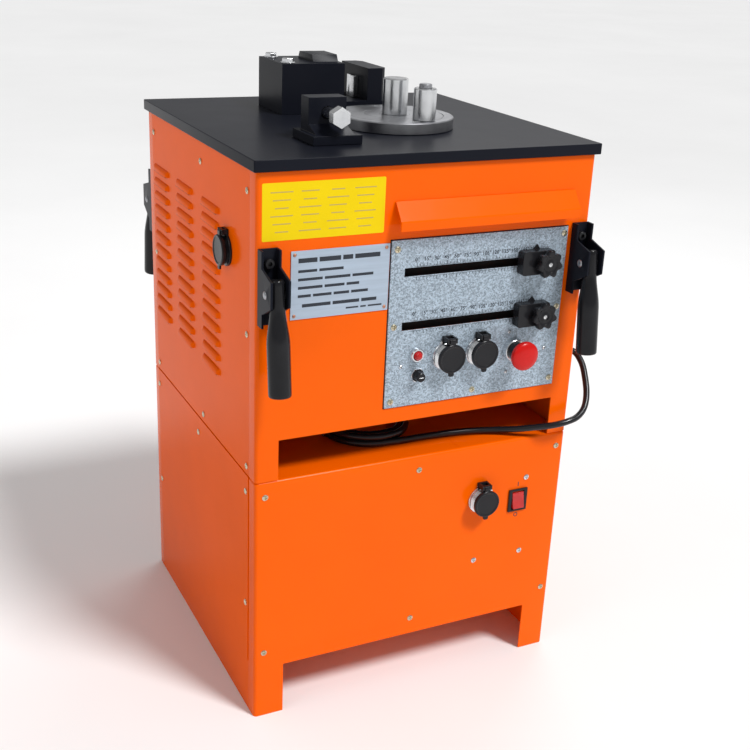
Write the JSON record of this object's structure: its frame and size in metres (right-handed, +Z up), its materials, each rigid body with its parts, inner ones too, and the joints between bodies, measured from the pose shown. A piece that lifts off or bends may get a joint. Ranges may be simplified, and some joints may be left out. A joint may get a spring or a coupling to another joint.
{
  "type": "rebar bender",
  "caption": "Portable electric rebar bender and cutter: sheet steel cabinet with bending disc and shear on the table, angle stops, capped sockets and fold-up handles",
  "frame": {"origin": "on the floor under the middle of the machine", "axes": "+Z up, -Y to the front with the control panel, +X to the operator's right"},
  "size_m": [0.5621, 0.6056, 0.8986],
  "materials": {
    "orange_paint": "glossy orange stove enamel",
    "black_paint": "semi-gloss black enamel",
    "galvanised_steel": "spangled galvanised sheet",
    "label_metal": "matt printed aluminium",
    "black_plastic": "moulded black plastic",
    "plated_steel": "bright plated steel",
    "tool_steel": "machined and oiled steel",
    "cast_iron": "rough casting",
    "transformer_steel": "varnished laminations and winding",
    "copper": "wound copper and steel",
    "red_plastic": "glossy red",
    "red_lens": "translucent red",
    "handle_sleeve": "smooth black vinyl sleeve",
    "cable_rubber": "smooth black cable sheath"
  },
  "bodies": {
    "cabinet": {"base_front_panel": "orange_paint", "base_back_panel": "orange_paint", "base_left_panel": "orange_paint", "base_right_panel": "orange_paint", "base_top_plate": "orange_paint", "base_floor_plate": "orange_paint", "transformer": "transformer_steel", "base_socket": "plated_steel", "rocker_frame": "black_plastic", "front_panel": "orange_paint", "back_panel": "orange_paint", "left_panel": "orange_paint", "right_panel": "orange_paint", "table_plate": "black_paint", "visor": "orange_paint", "nameplate": "label_metal", "control_panel": "galvanised_steel", "power_lamp": "red_lens", "fuse_holder": "black_plastic", "panel_socket_a": "plated_steel", "panel_socket_b": "plated_steel", "stop_collar": "plated_steel", "side_socket": "black_plastic", "handle_bracket_front_left": "black_paint", "handle_bracket_front_right": "black_paint", "handle_bracket_rear_left": "black_paint", "handle_bracket_rear_right": "black_paint", "gearbox_housing": "cast_iron", "motor_housing": "cast_iron", "cutter_housing": "black_paint", "fixed_blade": "plated_steel", "support_block": "black_paint", "cable_gland": "cable_rubber", "mains_cable": "cable_rubber", "cable_coil": "cable_rubber", "mains_plug": "cable_rubber"},
    "stop_a": {"slider_block_a": "black_plastic"},
    "stop_b": {"slider_block_b": "black_plastic"},
    "knob_a": {"slider_knob_a": "black_plastic"},
    "knob_b": {"slider_knob_b": "black_plastic"},
    "cap_a": {"panel_socket_a_cap": "black_plastic"},
    "cap_b": {"panel_socket_b_cap": "black_plastic"},
    "cap_base": {"base_socket_cap": "black_plastic"},
    "cap_side": {"side_socket_cap": "black_plastic"},
    "emergency_stop": {"stop_button": "red_plastic"},
    "power_switch": {"rocker_button": "red_lens"},
    "handle_front_left": {"carry_handle_front_left": "handle_sleeve"},
    "handle_front_right": {"carry_handle_front_right": "handle_sleeve"},
    "handle_rear_left": {"carry_handle_rear_left": "handle_sleeve"},
    "handle_rear_right": {"carry_handle_rear_right": "handle_sleeve"},
    "turntable": {"turntable_disc": "tool_steel", "main_shaft": "tool_steel", "centre_pin": "plated_steel"},
    "roller": {"bending_roller": "plated_steel"},
    "crankshaft": {"cutter_crankshaft": "tool_steel"},
    "second_shaft": {"second_gear_shaft": "tool_steel"},
    "first_shaft": {"first_gear_shaft": "tool_steel"},
    "armature": {"motor_armature": "copper"},
    "ram": {"cutter_ram": "plated_steel"},
    "adjuster": {"support_screw": "plated_steel"}
  },
  "joints": [
    {"name": "stop_a_slide", "type": "slide", "parent": "cabinet", "child": "stop_a", "axis": [-1, 0, 0], "range_m": [0, 0.184]},
    {"name": "knob_a_turn", "type": "hinge", "parent": "stop_a", "child": "knob_a", "pos_m": [0.171, -0.258, 0.656], "axis": [0, -1, 0], "range_deg": [0, 270]},
    {"name": "stop_b_slide", "type": "slide", "parent": "cabinet", "child": "stop_b", "axis": [-1, 0, 0], "range_m": [0, 0.184]},
    {"name": "knob_b_turn", "type": "hinge", "parent": "stop_b", "child": "knob_b", "pos_m": [0.171, -0.258, 0.58], "axis": [0, -1, 0], "range_deg": [0, 270]},
    {"name": "cap_a_flip", "type": "hinge", "parent": "cabinet", "child": "cap_a", "pos_m": [0.03, -0.2563, 0.556], "axis": [-1, 0, 0], "range_deg": [0, 110]},
    {"name": "cap_b_flip", "type": "hinge", "parent": "cabinet", "child": "cap_b", "pos_m": [0.083, -0.2563, 0.556], "axis": [-1, 0, 0], "range_deg": [0, 110]},
    {"name": "cap_base_flip", "type": "hinge", "parent": "cabinet", "child": "cap_base", "pos_m": [0.109, -0.254, 0.315], "axis": [-1, 0, 0], "range_deg": [0, 110]},
    {"name": "cap_side_flip", "type": "hinge", "parent": "cabinet", "child": "cap_side", "pos_m": [-0.2575, -0.129, 0.7], "axis": [0, 1, 0], "range_deg": [0, 110]},
    {"name": "emergency_stop_push", "type": "slide", "parent": "cabinet", "child": "emergency_stop", "axis": [0, 1, 0], "range_m": [0, 0.005], "stiffness_N_per_m": 800},
    {"name": "power_switch_rock", "type": "hinge", "parent": "cabinet", "child": "power_switch", "pos_m": [0.174, -0.24, 0.277], "axis": [1, 0, 0], "range_deg": [0, 20]},
    {"name": "handle_front_left_swing", "type": "hinge", "parent": "cabinet", "child": "handle_front_left", "pos_m": [-0.235, -0.267, 0.653], "axis": [-1, 0, 0], "range_deg": [0, 90]},
    {"name": "handle_front_right_swing", "type": "hinge", "parent": "cabinet", "child": "handle_front_right", "pos_m": [0.235, -0.267, 0.653], "axis": [-1, 0, 0], "range_deg": [0, 90]},
    {"name": "handle_rear_left_swing", "type": "hinge", "parent": "cabinet", "child": "handle_rear_left", "pos_m": [-0.235, 0.267, 0.653], "axis": [1, 0, 0], "range_deg": [0, 90]},
    {"name": "handle_rear_right_swing", "type": "hinge", "parent": "cabinet", "child": "handle_rear_right", "pos_m": [0.235, 0.267, 0.653], "axis": [1, 0, 0], "range_deg": [0, 90]},
    {"name": "turntable_turn", "type": "hinge", "parent": "cabinet", "child": "turntable", "pos_m": [0.03, -0.05, 0.815], "axis": [0, 0, 1], "range_deg": [0, 180]},
    {"name": "roller_spin", "type": "hinge", "parent": "turntable", "child": "roller", "pos_m": [0.04562, -0.11, 0.85], "axis": [0, 0, 1], "continuous": true},
    {"name": "crankshaft_turn", "type": "hinge", "parent": "cabinet", "child": "crankshaft", "pos_m": [-0.05, 0.11, 0.815], "axis": [0, 0, 1], "range_deg": [0, 180]},
    {"name": "second_shaft_turn", "type": "hinge", "parent": "cabinet", "child": "second_shaft", "pos_m": [-0.03144, 0.01928, 0.74], "axis": [0, 0, 1], "continuous": true},
    {"name": "first_shaft_turn", "type": "hinge", "parent": "cabinet", "child": "first_shaft", "pos_m": [-0.10406, -0.00947, 0.72], "axis": [0, 0, 1], "continuous": true},
    {"name": "armature_turn", "type": "hinge", "parent": "cabinet", "child": "armature", "pos_m": [-0.1137, -0.07031, 0.6], "axis": [0, 0, 1], "continuous": true},
    {"name": "ram_stroke", "type": "slide", "parent": "cabinet", "child": "ram", "axis": [1, 0, 0], "range_m": [0, 0.0281]},
    {"name": "adjuster_travel", "type": "slide", "parent": "cabinet", "child": "adjuster", "axis": [0, 1, 0], "range_m": [-0.014, 0.02]}
  ],
  "couplings": [
    {"joint": "crankshaft_turn", "follows": "turntable_turn", "ratio": 1},
    {"joint": "second_shaft_turn", "follows": "turntable_turn", "ratio": -3.1111},
    {"joint": "first_shaft_turn", "follows": "turntable_turn", "ratio": 10.37},
    {"joint": "armature_turn", "follows": "turntable_turn", "ratio": -36.872},
    {"joint": "ram_stroke", "follows": "turntable_turn", "m_per_rad": 0.0089127}
  ]
}
